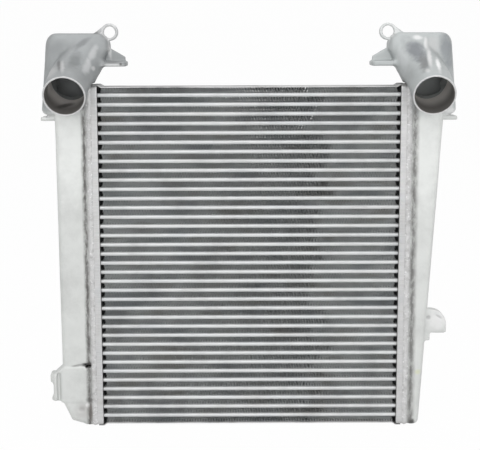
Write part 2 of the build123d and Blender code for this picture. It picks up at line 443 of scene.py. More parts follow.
class EndShade(Effect):
    """Painted darkening between two distances from the middle of the core; on the fins and headers it is
    painted shade in the gaps at the ends of the core.
    """

    label = "end_shade"
    takes = {"Coordinates": (VECTOR, (0, 0, 0)), "From": (FLOAT, 0.28), "Full": (FLOAT, 0.284),
             "End": (FLOAT, 0.2886), "Amount": (FLOAT, 0.9)}
    gives = {"Mask": FLOAT}

    @classmethod
    def wire(cls, board: NodeBoard, entry: bpy.types.Node) -> dict[str, Socket]:
        """Adds a mask that rises along X and stops.

        Args:
            board: The group's node tree.
            entry: The node that holds the group's inputs.

        Returns:
            The group's outputs, by name.
        """
        out = board.maths("ABSOLUTE", board.split(entry.outputs["Coordinates"])["X"])
        rise = board.ramp(out, entry.outputs["From"], entry.outputs["Full"])
        before = board.maths("LESS_THAN", out, entry.outputs["End"])
        mask = board.maths("MULTIPLY", rise, before)
        return {"Mask": board.maths("MULTIPLY", mask, entry.outputs["Amount"])}


class SeamGrime(Effect):
    """Broken dark painted shade along the groove beside a weld, at one distance from the middle."""

    label = "seam_grime"
    takes = {"Coordinates": (VECTOR, (0, 0, 0)), "Middle": (FLOAT, 0.3135), "Half Width": (FLOAT, 0.003),
             "Top": (FLOAT, 0.662), "Front": (FLOAT, 0.004), "Amount": (FLOAT, 0.8)}
    gives = {"Mask": FLOAT}
    wander_scale: float = 40.0
    wander_noise: Pair = (3.0, 0.55)
    wander_reach: float = 4.0 * MM
    break_stretch: Triple = (1.0, 1.0, 0.4)
    break_scale: float = 150.0
    break_noise: Pair = (4.0, 0.7)
    break_range: Pair = (0.3, 0.62)
    broken_share: float = 0.6

    @classmethod
    def wire(cls, board: NodeBoard, entry: bpy.types.Node) -> dict[str, Socket]:
        """Adds a wandering line with gaps.

        Args:
            board: The group's node tree.
            entry: The node that holds the group's inputs.

        Returns:
            The group's outputs, by name.
        """
        place = entry.outputs["Coordinates"]
        split = board.split(place)
        out = board.maths("ABSOLUTE", split["X"])
        below = board.maths("LESS_THAN", split["Z"], entry.outputs["Top"])
        behind = board.maths("GREATER_THAN", split["Y"], entry.outputs["Front"])
        wander = board.noise(place, cls.wander_scale, *cls.wander_noise)
        wander = board.maths("MULTIPLY", board.maths("SUBTRACT", wander, 0.5), cls.wander_reach)
        off = board.maths("ADD", board.maths("SUBTRACT", out, entry.outputs["Middle"]), wander)
        near = board.ramp(board.maths("ABSOLUTE", off), 0.0, entry.outputs["Half Width"])
        near = board.maths("MULTIPLY", board.maths("SUBTRACT", 1.0, near),
                           board.maths("MULTIPLY", below, behind))
        broken = board.noise(board.stretched(place, cls.break_stretch), cls.break_scale, *cls.break_noise)
        broken = board.maths("MULTIPLY", board.ramp(broken, *cls.break_range), cls.broken_share)
        mask = board.maths("MULTIPLY", near, board.maths("ADD", broken, 1 - cls.broken_share))
        return {"Mask": board.maths("MULTIPLY", mask, entry.outputs["Amount"])}


class PortBore(Effect):
    """Masks of a round port: its inside, how deep a place lies in it, and the cut face of its rim."""

    label = "port_bore"
    takes = {"Coordinates": (VECTOR, (0, 0, 0)), "Mouth": (VECTOR, (0, 0, 0)), "Turn": (VECTOR, (0, 0, 0)),
             "Radius": (FLOAT, 0.037), "Reach": (FLOAT, 0.07)}
    gives = {"Inside": FLOAT, "Deep": FLOAT, "Rim": FLOAT}
    mouth_range: Pair = (-2.0 * MM, 1.0 * MM)
    deep_range: Pair = (22.0 * MM, 60.0 * MM)
    bend_range: Pair = (55.0 * MM, 120.0 * MM)
    bend_inset: float = 22.0 * MM
    rim_range: Pair = (1.2 * MM, 3.0 * MM)
    rim_width: float = 6.0 * MM

    @classmethod
    def wire(cls, board: NodeBoard, entry: bpy.types.Node) -> dict[str, Socket]:
        """Adds the masks in the port's own coordinates.

        Args:
            board: The group's node tree.
            entry: The node that holds the group's inputs.

        Returns:
            The group's outputs, by name.
        """
        radius = entry.outputs["Radius"]
        local = board.add("ShaderNodeMapping", {"Vector": entry.outputs["Coordinates"],
                                                "Location": entry.outputs["Mouth"],
                                                "Rotation": entry.outputs["Turn"]}, vector_type="TEXTURE")
        split = board.split(local.outputs[0])
        depth = split["Z"]
        far = board.length(board.add("ShaderNodeCombineXYZ", {"X": split["X"], "Y": split["Y"]}).outputs[0])
        narrow = board.maths("MULTIPLY", board.ramp(depth, *cls.bend_range), cls.bend_inset)
        within = board.maths("LESS_THAN", far, board.maths("SUBTRACT", radius, narrow))
        before = board.maths("LESS_THAN", depth, entry.outputs["Reach"])
        behind = board.maths("MULTIPLY", board.ramp(depth, *cls.mouth_range), before)
        face = board.ramp(board.maths("ABSOLUTE", depth), *cls.rim_range)
        outer = board.maths("LESS_THAN", far, board.maths("ADD", radius, cls.rim_width))
        return {"Inside": board.maths("MULTIPLY", within, behind), "Deep": board.ramp(depth, *cls.deep_range),
                "Rim": board.maths("MULTIPLY", board.maths("SUBTRACT", 1.0, face), outer)}


class SoftSpot(Effect):
    """One soft round or long patch, turned about the axis from front to back."""

    label = "soft_spot"
    takes = {"Coordinates": (VECTOR, (0, 0, 0)), "Centre": (VECTOR, (0, 0, 0)), "Reach": (VECTOR, (1, 1, 1)),
             "Turn": (VECTOR, (0, 0, 0)), "Amount": (FLOAT, 0.5)}
    gives = {"Mask": FLOAT}
    edge_scale: float = 55.0
    edge_noise: Pair = (4.0, 0.6)
    edge_reach: float = 1.1
    fade_range: Pair = (0.25, 1.15)

    @classmethod
    def wire(cls, board: NodeBoard, entry: bpy.types.Node) -> dict[str, Socket]:
        """Adds an oval mask with a ragged edge.

        Args:
            board: The group's node tree.
            entry: The node that holds the group's inputs.

        Returns:
            The group's outputs, by name.
        """
        local = board.add("ShaderNodeMapping", {"Vector": entry.outputs["Coordinates"],
                                                "Location": entry.outputs["Centre"],
                                                "Rotation": entry.outputs["Turn"],
                                                "Scale": entry.outputs["Reach"]}, vector_type="TEXTURE")
        ragged = board.noise(entry.outputs["Coordinates"], cls.edge_scale, *cls.edge_noise)
        ragged = board.maths("MULTIPLY", board.maths("SUBTRACT", ragged, 0.5), cls.edge_reach)
        far = board.maths("ADD", board.length(local.outputs[0]), ragged)
        inside = board.maths("SUBTRACT", 1.0, board.ramp(far, *cls.fade_range))
        return {"Mask": board.maths("MULTIPLY", inside, entry.outputs["Amount"])}


@dataclass(frozen=True)
class Stain:
    """A soft patch of another tone on a casting, in millimetres of the row frame. Some are real staining;
    many are painted shade and painted highlights on folds and dents.
    """

    spot: Triple
    reach: Triple
    colour: Colour
    amount: float = 0.6
    turn: float = 0.0

    def mask(self, board: NodeBoard, place: Socket) -> Socket:
        """Adds the patch to a material.

        Args:
            board: The material's node tree.
            place: Coordinates in the row frame.

        Returns:
            The patch's mask.
        """
        spot = SoftSpot.place(board, Coordinates=place, Centre=tuple(v * MM for v in self.spot),
                              Reach=tuple(v * MM for v in self.reach),
                              Turn=(0.0, -math.radians(self.turn), 0.0), Amount=self.amount)
        return spot["Mask"]


@dataclass(frozen=True)
class Finish:
    """A metal finish: its plain values, and the material made from them.

    Its name differs from every material slot of the record, because the frame brings plain
    materials under those names.
    """

    name: str
    colour: Colour
    dark: Colour
    metallic: float = 0.7
    roughness: float = 0.5
    bump: float = 0.15
    bump_distance: float = 0.4 * MM

    def dress(self, board: NodeBoard, place: Socket, shader: bpy.types.Node) -> None:
        """Adds the nodes of this finish, ending in the shader's sockets.

        Args:
            board: The material's node tree.
            place: Coordinates in the row frame.
            shader: The material's shader.
        """
        raise NotImplementedError

    def bumps(self, board: NodeBoard, height: Socket, shader: bpy.types.Node) -> None:
        """Feeds a height to the shader's normal.

        Args:
            board: The material's node tree.
            height: The height.
            shader: The material's shader.
        """
        bump = board.add("ShaderNodeBump", {"Strength": self.bump, "Distance": self.bump_distance,
                                            "Height": height})
        board.feed(shader.inputs["Normal"], bump.outputs["Normal"])

    def material(self) -> bpy.types.Material:
        """Finds the material, or builds it at the first call.

        Returns:
            The material.
        """
        found = bpy.data.materials.get(self.name)
        if found:
            return found
        material = bpy.data.materials.new(self.name)
        material.use_nodes = True
        material.node_tree.nodes.clear()
        board = NodeBoard(material.node_tree)
        shader = board.add("ShaderNodeBsdfPrincipled", {"Metallic": self.metallic,
                                                        "Roughness": self.roughness})
        leave = board.add("ShaderNodeOutputMaterial")
        board.feed(leave.inputs["Surface"], shader.outputs[0])
        place = board.add("ShaderNodeTexCoord").outputs["Object"]
        self.dress(board, place, shader)
        return material


@dataclass(frozen=True, kw_only=True)
class CastFinish(Finish):
    """Blasted cast aluminium: pale body, greyer head above a level, real staining, and painted shade and
    painted highlights in patches, in the port and along the seam.

    The port is given in millimetres for the right side, as the middle of its mouth, and mirrored
    for the left. The seam is given in millimetres from the middle of the core.
    """

    side: Side
    head: Colour
    seam_middle: float
    seam_half: float
    seam_amount: float
    stains: tuple[Stain, ...]
    head_level: float = 0.617
    head_blend: float = 0.035
    level_drift: float = 0.03
    # The port's inside is painted darker near the mouth as painted shade, and much lighter deep in as painted
    # light that falls in.
    bore_near: Colour = grey(128, 3)
    bore_deep: Colour = grey(240, 4)
    rim: Colour = grey(214)
    rim_amount: float = 0.8
    # Colour of the painted shade along the groove beside the weld.
    seam: Colour = grey(86, 2)
    port: Triple = (338.5, -72.2, 651.5)
    port_tilt: float = 23.0
    port_reach: float = 92.0
    bore_radius: float = 37.2
    pit_share: float = 0.12
    pit_amount: float = 0.25
    tone_amount: float = 0.12
    mark_scale: float = 9.0
    mark_amount: float = 0.22
    rough_drop: float = 0.05
    rough_spread: float = 0.15

    def dress(self, board: NodeBoard, place: Socket, shader: bpy.types.Node) -> None:
        """Adds body, head, marks, the port's painted shade and light, patches of staining and of painted
        light and shade, rim and the seam's painted shade.

        Args:
            board: The material's node tree.
            place: Coordinates in the row frame.
            shader: The material's shader.
        """
        grain = CastGrain.place(board, Coordinates=place, Pit_Share=self.pit_share)
        level = board.maths("ADD", board.split(place)["Z"],
                            board.maths("MULTIPLY", grain["Tone"], self.level_drift))
        upper = board.ramp(level, self.head_level, self.head_level + self.head_blend)
        base = board.blend(upper, self.colour, self.head)
        tone = board.blend(board.maths("MULTIPLY", grain["Tone"], self.tone_amount), base, self.dark)
        marks = HandlingMarks.place(board, Coordinates=place, Patch_Scale=self.mark_scale,
                                    Amount=self.mark_amount)
        tone = board.blend(marks["Mask"], tone, self.dark)
        x, y, z = self.port
        port = PortBore.place(board, Coordinates=place, Mouth=(self.side.value * x * MM, y * MM, z * MM),
                              Turn=(math.radians(self.port_tilt - 90.0), 0.0, 0.0),
                              Radius=self.bore_radius * MM, Reach=self.port_reach * MM)
        # Painted shade and painted light on the port's inside.
        bore_shading = board.blend(port["Deep"], self.bore_near, self.bore_deep)
        tone = board.blend(port["Inside"], tone, bore_shading)
        # Patches of real staining, and of painted shade and painted highlights.
        for tone_patch in self.stains:
            tone = board.blend(tone_patch.mask(board, place), tone, tone_patch.colour)
        tone = board.blend(board.maths("MULTIPLY", port["Rim"], self.rim_amount), tone, self.rim)
        # Painted shade along the groove beside the weld.
        groove_shade = SeamGrime.place(board, Coordinates=place, Middle=self.seam_middle * MM,
                                Half_Width=self.seam_half * MM, Amount=self.seam_amount)
        tone = board.blend(groove_shade["Mask"], tone, self.seam)
        tone = board.blend(board.maths("MULTIPLY", grain["Pits"], self.pit_amount), tone, self.dark)
        board.feed(shader.inputs["Base Color"], tone)
        rough = board.maths("ADD", self.roughness - self.rough_drop,
                            board.maths("MULTIPLY", grain["Tone"], self.rough_spread))
        board.feed(shader.inputs["Roughness"], rough)
        self.bumps(board, grain["Height"], shader)


@dataclass(frozen=True, kw_only=True)
class SheetFinish(Finish):
    """Rolled aluminium sheet with drawing lines, smudges and scratches."""

    marks: float
    mark_scale: float = 14.0
    line_scale: float = 700.0
    line_amount: float = 0.15
    scratches: float = 0.3
    tints: float = 0.15
    rough_drop: float = 0.04
    rough_spread: float = 0.1
    bright: Colour = grey(240)
    cool: Colour = grey(168, -6, 1)
    warm: Colour = grey(170, 5, 2)

    def dress(self, board: NodeBoard, place: Socket, shader: bpy.types.Node) -> None:
        """Adds lines, smudges, tints and scratches.

        Args:
            board: The material's node tree.
            place: Coordinates in the row frame.
            shader: The material's shader.
        """
        lines = SheetMarks.place(board, Coordinates=place, Line_Scale=self.line_scale)
        marks = HandlingMarks.place(board, Coordinates=place, Patch_Scale=self.mark_scale, Amount=self.marks)
        tints = PatchTints.place(board, Coordinates=place, Amount=self.tints)
        tone = board.blend(board.maths("MULTIPLY", lines["Mask"], self.line_amount), self.colour, self.dark)
        tone = board.blend(marks["Mask"], tone, self.dark)
        tone = board.blend(tints["Cool"], tone, self.cool)
        tone = board.blend(tints["Warm"], tone, self.warm)
        tone = board.blend(board.maths("MULTIPLY", lines["Scratches"], self.scratches), tone, self.bright)
        board.feed(shader.inputs["Base Color"], self.shade(board, place, tone))
        rough = board.maths("ADD", self.roughness - self.rough_drop,
                            board.maths("MULTIPLY", lines["Mask"], self.rough_spread))
        board.feed(shader.inputs["Roughness"], rough)
        self.bumps(board, lines["Height"], shader)

    def shade(self, board: NodeBoard, place: Socket, colour: Socket) -> Socket:
        """Leaves the colour as it is; a finish with darker ends adds them here."""
        return colour


@dataclass(frozen=True, kw_only=True)
class EndShadedFinish(SheetFinish):
    """Sheet whose ends, out to one distance from the middle, are painted dark: painted shade on the fins and
    headers, and darker ends on the side plates.
    """

    shade_from: float
    shade_full: float
    shade_colour: Colour
    shade_end: float = 288.6 * MM
    shade_amount: float = 0.9

    def shade(self, board: NodeBoard, place: Socket, colour: Socket) -> Socket:
        """Darkens the stretch between two distances from the middle.

        Args:
            board: The material's node tree.
            place: Coordinates in the row frame.
            colour: The colour so far.

        Returns:
            The colour with its dark ends.
        """
        ends = EndShade.place(board, Coordinates=place, From=self.shade_from, Full=self.shade_full,
                              End=self.shade_end, Amount=self.shade_amount)
        return board.blend(ends["Mask"], colour, self.shade_colour)


@dataclass(frozen=True)
class WeldFinish(Finish):
    """Weld metal: sooty valleys, bright specks and fine grain."""

    bright: Colour = grey(245)
    grain_scale: float = 1400.0
    swell_scale: float = 160.0
    pit_share: float = 0.2
    tone_amount: float = 0.35
    soot_scale: float = 85.0
    soot_amount: float = 0.45
    speck_scale: float = 240.0
    speck_noise: Pair = (2.0, 0.6)
    speck_range: Pair = (0.6, 0.68)
    speck_amount: float = 0.6

    def dress(self, board: NodeBoard, place: Socket, shader: bpy.types.Node) -> None:
        """Adds tone, soot and specks.

        Args:
            board: The material's node tree.
            place: Coordinates in the row frame.
            shader: The material's shader.
        """
        grain = CastGrain.place(board, Coordinates=place, Grain_Scale=self.grain_scale,
                                Swell_Scale=self.swell_scale, Pit_Share=self.pit_share)
        soot = HandlingMarks.place(board, Coordinates=place, Patch_Scale=self.soot_scale,
                                   Amount=self.soot_amount)
        tone = board.blend(board.maths("MULTIPLY", grain["Tone"], self.tone_amount), self.colour, self.dark)
        tone = board.blend(soot["Mask"], tone, self.dark)
        specks = board.ramp(board.noise(place, self.speck_scale, *self.speck_noise), *self.speck_range)
        tone = board.blend(board.maths("MULTIPLY", specks, self.speck_amount), tone, self.bright)
        board.feed(shader.inputs["Base Color"], tone)
        self.bumps(board, grain["Height"], shader)


def new_piece(name: str, mesh: bpy.types.Mesh, material: bpy.types.Material,
              nodes: Sequence[str]) -> None:
    """Makes a piece of the cooler from a mesh and seats it on the frame.

    Args:
        name: The piece's name.
        mesh: Its final mesh, in the row frame.
        material: Its finish.
        nodes: The CAD nodes that it stands for.
    """
    mesh.materials.clear()
    mesh.materials.append(material)
    piece = bpy.data.objects.new(name, mesh)
    bpy.context.scene.collection.objects.link(piece)
    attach(piece, ROOT)
    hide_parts(*nodes)
    log.info("%s: %d faces", name, len(mesh.polygons))


def dress_node(name: str, finish: Finish) -> None:
    """Gives a CAD node its finish.

    Args:
        name: The node's name.
        finish: The finish.
    """
    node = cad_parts[name]
    node.data.materials.clear()
    node.data.materials.append(finish.material())
    log.info("%s: %s", name, finish.name)


def smooth_shaded(mesh: bpy.types.Mesh) -> None:
    """Shades all faces of a mesh smoothly."""
    mesh.polygons.foreach_set("use_smooth", [True] * len(mesh.polygons))


def mesh_points(mesh: bpy.types.Mesh) -> np.ndarray:
    """Reads the places of a mesh's points.

    Args:
        mesh: The mesh.

    Returns:
        A row for each point, in millimetres.
    """
    flat = np.empty(len(mesh.vertices) * 3, np.float32)
    mesh.vertices.foreach_get("co", flat)
    return flat.reshape(-1, 3).astype(float) / MM


def set_mesh_points(mesh: bpy.types.Mesh, points: np.ndarray) -> None:
    """Puts a mesh's points at new places, given in millimetres."""
    mesh.vertices.foreach_set("co", (points * MM).astype(np.float32).ravel())
    mesh.update()


@dataclass(frozen=True)
class Ease:
    """A box, mirrored for both tanks, where a skin is smoothed further, fading out at the box's faces."""

    low: Triple
    high: Triple
    fade: float = 8.0
    passes: int = 60
    strength: float = 0.5

    def work(self, mesh: bpy.types.Mesh) -> None:
        """Draws the points in the box toward their neighbours, again and again.

        Args:
            mesh: The skin, changed in place.
        """
        points = mesh_points(mesh)
        share = self._shares(points)
        pairs = np.empty(len(mesh.edges) * 2, np.int32)
        mesh.edges.foreach_get("vertices", pairs)
        pairs = pairs.reshape(-1, 2)
        pairs = pairs[(share[pairs[:, 0]] > 0) | (share[pairs[:, 1]] > 0)]
        chosen, places = np.unique(pairs, return_inverse=True)
        places = places.reshape(-1, 2)
        first, second = places[:, 0], places[:, 1]
        count = len(chosen)
        spots = points[chosen]
        pull = (share[chosen] * self.strength)[:, None]
        degree = np.bincount(places.ravel(), minlength=count)[:, None]
        for _ in range(self.passes):
            total = np.empty_like(spots)
            for axis in range(3):
                total[:, axis] = (np.bincount(first, spots[second, axis], count)
                                  + np.bincount(second, spots[first, axis], count))
            spots += pull * (total / degree - spots)
        points[chosen] = spots
        set_mesh_points(mesh, points)

    def _shares(self, points: np.ndarray) -> np.ndarray:
        """How strongly each point is drawn.

        Args:
            points: Places of the points, in millimetres.

        Returns:
            Shares from 0 outside the box to 1 well inside it.
        """
        place = points.copy()
        place[:, 0] = np.abs(place[:, 0])
        share = np.ones(len(points))
        for axis in range(3):
            share *= np.clip((place[:, axis] - self.low[axis]) / self.fade, 0.0, 1.0)
            share *= np.clip((self.high[axis] - place[:, axis]) / self.fade, 0.0, 1.0)
        return share


@dataclass(frozen=True)
class Dent:
    """A shallow hollow, or a swell with a positive height, in the face that looks forward, in millimetres."""

    x: float
    z: float
    across: float
    along: float
    height: float
    turn: float = 0.0

    def lift(self, points: np.ndarray, facing: np.ndarray) -> np.ndarray:
        """Returns how far each point moves outward.

        Args:
            points: Places of the points in the row frame, in millimetres.
            facing: How squarely each point looks forward, 0 to 1.

        Returns:
            Distances in millimetres.
        """
        c, s = math.cos(math.radians(self.turn)), math.sin(math.radians(self.turn))
        right, up = points[:, 0] - self.x, points[:, 2] - self.z
        u = (right * c + up * s) / self.across
        v = (up * c - right * s) / self.along
        return self.height * np.exp(-(u * u + v * v)) * facing


@dataclass(frozen=True)
class Shaping:
    """Shaping of a casting's skin: the unevenness of a sand mould, and dents at their places."""

    dents: tuple[Dent, ...]
    swell: float = 0.35
    swell_size: float = 38.0
    ripple: float = 0.12
    ripple_size: float = 9.0
    deepest: float = 62.0
    facing_gain: float = 1.5

    def work(self, mesh: bpy.types.Mesh) -> None:
        """Moves the mesh's points along their normals.

        Args:
            mesh: The skin, changed in place.
        """
        places = mesh_points(mesh)
        turned = np.empty(len(places) * 3, np.float32)
        mesh.vertex_normals.foreach_get("vector", turned)
        normals = turned.reshape(-1, 3).astype(float)
        move = np.array([self._uneven(Vector(p)) for p in places])
        facing = np.clip(-normals[:, 1] * self.facing_gain, 0.0, 1.0) * (places[:, 1] < self.deepest)
        for dent in self.dents:
            move += dent.lift(places, facing)
        set_mesh_points(mesh, places + normals * move[:, None])

    def _uneven(self, place: Vector) -> float:
        """Returns the height of the mould's unevenness at a place, in millimetres."""
        return (self.swell * noise.noise(place / self.swell_size)
                + self.ripple * noise.noise(place / self.ripple_size))


@dataclass(frozen=True)
class Mould:
    """Turns a CAD solid into a casting's skin: even small faces, eased edges, then fewer faces."""

    grid: float = 1.7 * MM
    passes: int = 3
    strength: float = 0.5
    weld: float = 0.001 * MM
    most_triangles: int = 185000

    def skin(self, name: str, node: str, eases: Sequence[Ease], shape: Shaping) -> bpy.types.Mesh:
        """Makes the skin of a node.

        Args:
            name: Name of the new mesh.
            node: The CAD node that gives the solid.
            eases: Places whose creases are rounded off.
            shape: Shaping of the skin.

        Returns:
            A closed mesh of triangles.
        """
        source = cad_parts[node].data.copy()
        work = bmesh.new()
        work.from_mesh(source)
        bmesh.ops.remove_doubles(work, verts=work.verts, dist=self.weld)
        work.to_mesh(source)
        work.free()
        fine = self._applied(source, name + "_fine", (
            ("REMESH", {"mode": "VOXEL", "voxel_size": self.grid, "adaptivity": 0.0}),
            ("SMOOTH", {"factor": self.strength, "iterations": self.passes}),
        ))
        for ease in eases:
            ease.work(fine)
        shape.work(fine)
        triangles = sum(len(face.vertices) - 2 for face in fine.polygons)
        share = min(1.0, self.most_triangles / triangles)
        lean = self._applied(fine, name, (("DECIMATE", {"decimate_type": "COLLAPSE", "ratio": share}),))
        smooth_shaded(lean)
        return lean

    def _applied(self, mesh: bpy.types.Mesh, name: str, steps: Sequence[tuple[str, dict]]) -> bpy.types.Mesh:
        """Runs modifiers on a mesh.

        Args:
            mesh: The mesh, which is used up.
            name: Name of the result.
            steps: Each modifier's type and settings.

        Returns:
            The result as a new mesh.
        """
        holder = bpy.data.objects.new(name + "_holder", mesh)
        bpy.context.scene.collection.objects.link(holder)
        for kind, settings in steps:
            modifier = holder.modifiers.new(kind.lower(), kind)
            for key, value in settings.items():
                setattr(modifier, key, value)
        seen = holder.evaluated_get(bpy.context.evaluated_depsgraph_get())
        result = bpy.data.meshes.new_from_object(seen)
        result.name = name
        bpy.data.objects.remove(holder)
        bpy.data.meshes.remove(mesh)
        return result


@dataclass
class FinBank:
    """Corrugated air fins: one strip of folded sheet in each gap between the tubes.

    Each strip is bent once half way back. The bend changes its side at one place across, which
    differs from row to row.
    """

    rows: int = 37
    leg_pitch: float = 2.6 * MM
    sheet: float = 0.22 * MM
    crown: float = 0.5 * MM
    depth_share: float = 0.97
    overhang: float = 4.0 * MM
    sway_share: float = 0.25
    sway_steps: Pair = (0.37, 3.1)
    bend: float = 1.35 * MM
    turn_place: float = 132.0 * MM
    turn_spread: float = 68.0 * MM
    turn_steps: Pair = (0.73, 4.2)
    turn_reach: float = 7.0 * MM
    low: Vector = field(default_factory=lambda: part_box("air_fins")[0])
    high: Vector = field(default_factory=lambda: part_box("air_fins")[1])
    # The fin ends are painted almost black: painted shade in the gap between the fins and the header.
    finish: Finish = EndShadedFinish("fin_sheet", grey(232, -1, 1), grey(130, -1), metallic=0.15,
                                     roughness=0.85, line_scale=300.0, marks=0.35, scratches=0.45, tints=0.5,
                                     shade_from=281.5 * MM, shade_full=283.5 * MM, shade_colour=grey(10),
                                     shade_amount=0.96)

    def build(self) -> None:
        """Builds every strip as one mesh that stands for the fin rows."""
        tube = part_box("flat_tube_01")
        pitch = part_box("flat_tube_02")[0].z - tube[0].z
        height = tube[0].z - self.low.z
        verts: list[Triple] = []
        faces: list[Corners] = []
        for row in range(self.rows):
            line = self._line(row, self.low.z + row * pitch, height)
            self._strip(verts, faces, line, self._turn(row))
        mesh = bpy.data.meshes.new("air_fin_strips")
        mesh.from_pydata(verts, [], faces)
        mesh.update()
        new_piece("air_fin_strips", mesh, self.finish.material(), ["air_fins"])

    def _turn(self, row: int) -> float:
        """Returns the place across where the bend of a row changes its side."""
        along, level = self.turn_steps
        return self.turn_place + self.turn_spread * noise.noise(Vector((row * along, level, 0.0)))

    def _line(self, row: int, bottom: float, height: float) -> list[Pair]:
        """Folded line of one strip, seen from the front.

        Args:
            row: Number of the row from the bottom.
            bottom: Level of the row's underside.
            height: Height of the row.

        Returns:
            Points across and up, with a short flat crown at each fold.
        """
        along, upward = self.sway_steps
        left = self.low.x - self.overhang
        length = self.high.x + self.overhang - left
        legs = int(length / self.leg_pitch)
        step = length / legs
        line: list[Pair] = []
        for n in range(legs + 1):
            sway = noise.noise(Vector((n * along, row * upward, 0.0))) * step * self.sway_share
            x = left + n * step + (sway if 0 < n < legs else 0.0)
            top = (n + row) % 2
            z = bottom + (height - self.sheet / 2 if top else self.sheet / 2)
            if n:
                line.append((x - self.crown / 2, z))
            if n < legs:
                line.append((x + self.crown / 2, z))
        return line

    def _strip(self, verts: list[Triple], faces: list[Corners], line: list[Pair], turn: float) -> None:
        """Gives a folded line the sheet's thickness and the fin's depth, bent once half way back.

        Args:
            verts: The mesh's corners, added to.
            faces: The mesh's faces, added to.
            line: Points across and up.
            turn: Place across where the bend changes its side.
        """
        start = len(verts)
        middle = (self.low.y + self.high.y) / 2
        half = (self.high.y - self.low.y) / 2 * self.depth_share
        planes = ((middle - half, self.bend), (middle, -self.bend), (middle + half, self.bend))
        last = len(line) - 1
        for n, (x, z) in enumerate(line):
            before, after = line[max(n - 1, 0)], line[min(n + 1, last)]
            run, rise = after[0] - before[0], after[1] - before[1]
            size = math.hypot(run, rise)
            out, up = -rise / size * self.sheet / 2, run / size * self.sheet / 2
            lean = min(1.0, max(-1.0, (x - turn) / self.turn_reach))
            for y, reach in planes:
                verts.append((x + reach * lean - out, y, z - up))
                verts.append((x + reach * lean + out, y, z + up))
        width = 2 * len(planes)
        back = width - 2
        for n in range(last):
            a, b = start + width * n, start + width * (n + 1)
            faces.append((a, b, b + 1, a + 1))
            faces.append((a + back, a + back + 1, b + back + 1, b + back))
            for k in range(0, back, 2):
                faces.append((a + k, a + k + 2, b + k + 2, b + k))
                faces.append((a + k + 1, b + k + 1, b + k + 3, a + k + 3))
        end = start + width * last
        for k in range(0, back, 2):
            faces.append((start + k, start + k + 1, start + k + 3, start + k + 2))
            faces.append((end + k, end + k + 2, end + k + 3, end + k + 1))


@dataclass
class Core:
    """Flat tubes, side plates and headers, which keep their CAD shapes."""

    tubes: int = 36
    tube_finish: Finish = SheetFinish("tube_sheet", grey(208, -1, 1), grey(120), metallic=0.55, roughness=0.5,
                                      marks=0.25, scratches=0.35)
    # The side plates are painted darker towards their ends.
    plate_finish: Finish = EndShadedFinish("side_plate_sheet", grey(198), grey(84), metallic=0.5,
                                           roughness=0.55, marks=0.6, shade_from=283.0 * MM,
                                           shade_full=290.0 * MM, shade_end=303.0 * MM,
                                           shade_colour=grey(84), shade_amount=0.6)
    # The header's inner face is painted almost black: painted shade in the gap between the fin ends and the
    # header.
    header_finish: Finish = EndShadedFinish("header_sheet", grey(198), grey(136), roughness=0.5, marks=0.2,
                                            scratches=0.15, shade_from=280.0 * MM, shade_full=281.0 * MM,
                                            shade_end=288.4 * MM, shade_colour=grey(16))

    def build(self) -> None:
        """Dresses the tubes, plates and headers."""
        for number in range(1, self.tubes + 1):
            dress_node(f"flat_tube_{number:02d}", self.tube_finish)
        for name in ("bottom_side_plate", "top_side_plate"):
            dress_node(name, self.plate_finish)
        for side in Side:
            dress_node(f"{side.word}_header", self.header_finish)


